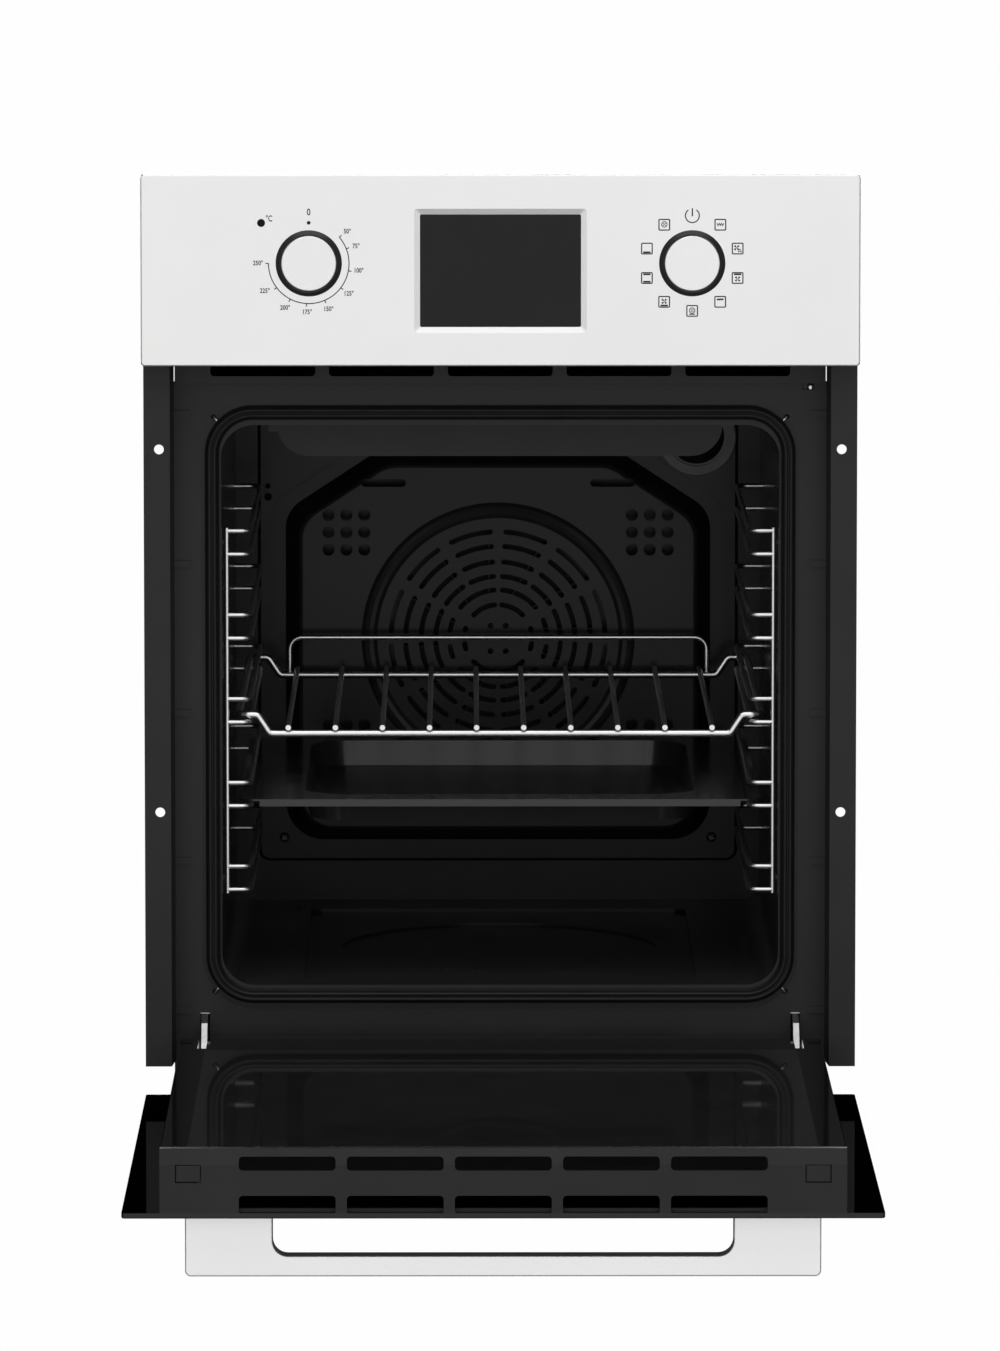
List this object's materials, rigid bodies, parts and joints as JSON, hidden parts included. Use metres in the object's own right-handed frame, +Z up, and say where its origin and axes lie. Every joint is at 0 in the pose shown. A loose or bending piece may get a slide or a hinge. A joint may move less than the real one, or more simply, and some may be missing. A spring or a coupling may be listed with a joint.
{
  "type": "wall oven",
  "caption": "Built-in wall oven with a drop-down glass door, pull-out wire shelf and baking tray, pop-out control knobs, slotted fan cover and wire side racks.",
  "frame": {"origin": "middle of the base pan's underside, on the plane of the cabinet's front", "axes": "+X to the oven's right seen from the front, +Y into the cabinet, +Z up"},
  "size_m": [0.447, 0.9916, 0.6201],
  "materials": {
    "dark_enamel": "satin enamel with a fine sprayed grain",
    "cavity_enamel": "dark glazed enamel",
    "panel_steel": "satin silver, fine grain",
    "handle_steel": "satin silver, fine grain",
    "knob_silver": "satin silver",
    "bezel_dark": "dark moulded plastic, satin",
    "display_dark": "smoked window",
    "pilot_dark": "smoked lens",
    "black_glass": "black printed glass, glossy",
    "clear_glass": "clear low-reflection glass",
    "door_trim": "dark grey moulded profile",
    "galvanised": "galvanised sheet",
    "bright_wire": "bright chromed wire",
    "bright_steel": "zinc plated",
    "tray_enamel": "dark glazed enamel",
    "gasket_grey": "silicone seal",
    "insulation_wool": "mineral wool",
    "heater_sheath": "dark heater sheath",
    "motor_grey": "motor laminations",
    "aluminium_blades": "mill finish",
    "lamp_glass": "clear ribbed glass",
    "black_plastic": "moulded",
    "circuit_green": "circuit board"
  },
  "bodies": {
    "chassis": {"front_frame": "dark_enamel", "trim_right": "dark_enamel", "trim_left": "dark_enamel", "door_gasket": "gasket_grey", "cavity_wrap": "cavity_enamel", "cavity_back_wall": "cavity_enamel", "fan_cover": "cavity_enamel", "base_pan": "galvanised", "outer_wrap": "galvanised", "rear_panel": "galvanised", "insulation": "insulation_wool", "grill_shield": "cavity_enamel", "grill_element": "heater_sheath", "bottom_element": "heater_sheath", "ring_heater": "heater_sheath", "fan_motor": "motor_grey", "lamp_holder": "bright_steel", "lamp_lens": "lamp_glass", "lamp_bulb": "lamp_glass", "rack_right": "bright_wire", "rack_left": "bright_wire", "rack_studs": "bright_steel", "hinge_arms": "bright_steel", "door_switch": "black_plastic", "terminal_box": "galvanised", "cable_gland": "black_plastic", "casing_screws": "bright_steel", "control_panel": "panel_steel", "display_window": "display_dark", "knob_bezels": "bezel_dark", "thermostat_body": "bright_steel", "selector_switch": "black_plastic", "pilot_lens": "pilot_dark", "timer_board": "circuit_green", "air_duct": "dark_enamel", "blower_housing": "galvanised", "blower_motor": "motor_grey"},
    "door": {"outer_glass": "black_glass", "inner_glass": "clear_glass", "middle_glass": "clear_glass", "door_top_trim": "door_trim", "door_rail_right": "door_trim", "door_rail_left": "door_trim", "door_bottom_rail": "door_trim", "hinge_cases": "galvanised", "hinge_springs": "bright_steel", "door_handle": "handle_steel", "door_screws": "bright_steel"},
    "left_clip": {"glass_clip_left": "door_trim"},
    "right_clip": {"glass_clip_right": "door_trim"},
    "shelf": {"wire_shelf": "bright_wire"},
    "tray": {"baking_tray": "tray_enamel"},
    "temperature_shaft": {"temperature_spindle": "bright_steel"},
    "temperature_cap": {"temperature_knob": "knob_silver"},
    "selector_shaft": {"selector_spindle": "bright_steel"},
    "selector_cap": {"selector_knob": "knob_silver"},
    "convection_fan": {"fan_impeller": "aluminium_blades", "fan_shaft": "bright_steel"},
    "cooling_rotor": {"blower_rotor": "aluminium_blades"},
    "door_plunger": {"switch_plunger": "bright_steel"}
  },
  "joints": [
    {"name": "door_hinge", "type": "hinge", "parent": "chassis", "child": "door", "pos_m": [0, -0.012, 0.0206], "axis": [-1, 0, 0], "range_deg": [0, 90]},
    {"name": "left_clip_press", "type": "slide", "parent": "door", "child": "left_clip", "axis": [0, 1, 0], "range_m": [0, 0.0025], "stiffness_N_per_m": 200},
    {"name": "right_clip_press", "type": "slide", "parent": "door", "child": "right_clip", "axis": [0, 1, 0], "range_m": [0, 0.0025], "stiffness_N_per_m": 200},
    {"name": "shelf_slide", "type": "slide", "parent": "chassis", "child": "shelf", "axis": [0, 1, 0], "range_m": [-0.4, 0]},
    {"name": "tray_slide", "type": "slide", "parent": "chassis", "child": "tray", "axis": [0, 1, 0], "range_m": [-0.4, 0]},
    {"name": "temperature_turn", "type": "hinge", "parent": "chassis", "child": "temperature_shaft", "pos_m": [-0.119, -0.02, 0.5397], "axis": [0, 1, 0], "range_deg": [0, 270]},
    {"name": "temperature_pop", "type": "slide", "parent": "temperature_shaft", "child": "temperature_cap", "axis": [0, -1, 0], "range_m": [0, 0.014]},
    {"name": "selector_turn", "type": "hinge", "parent": "chassis", "child": "selector_shaft", "pos_m": [0.119, -0.02, 0.5397], "axis": [0, 1, 0], "continuous": true},
    {"name": "selector_pop", "type": "slide", "parent": "selector_shaft", "child": "selector_cap", "axis": [0, -1, 0], "range_m": [0, 0.014]},
    {"name": "fan_spin", "type": "hinge", "parent": "chassis", "child": "convection_fan", "pos_m": [0, 0.43, 0.26], "axis": [0, 1, 0], "continuous": true},
    {"name": "blower_spin", "type": "hinge", "parent": "chassis", "child": "cooling_rotor", "pos_m": [0, 0.3, 0.503], "axis": [1, 0, 0], "continuous": true},
    {"name": "plunger_press", "type": "slide", "parent": "chassis", "child": "door_plunger", "axis": [0, 1, 0], "range_m": [0, 0.004], "stiffness_N_per_m": 150}
  ]
}
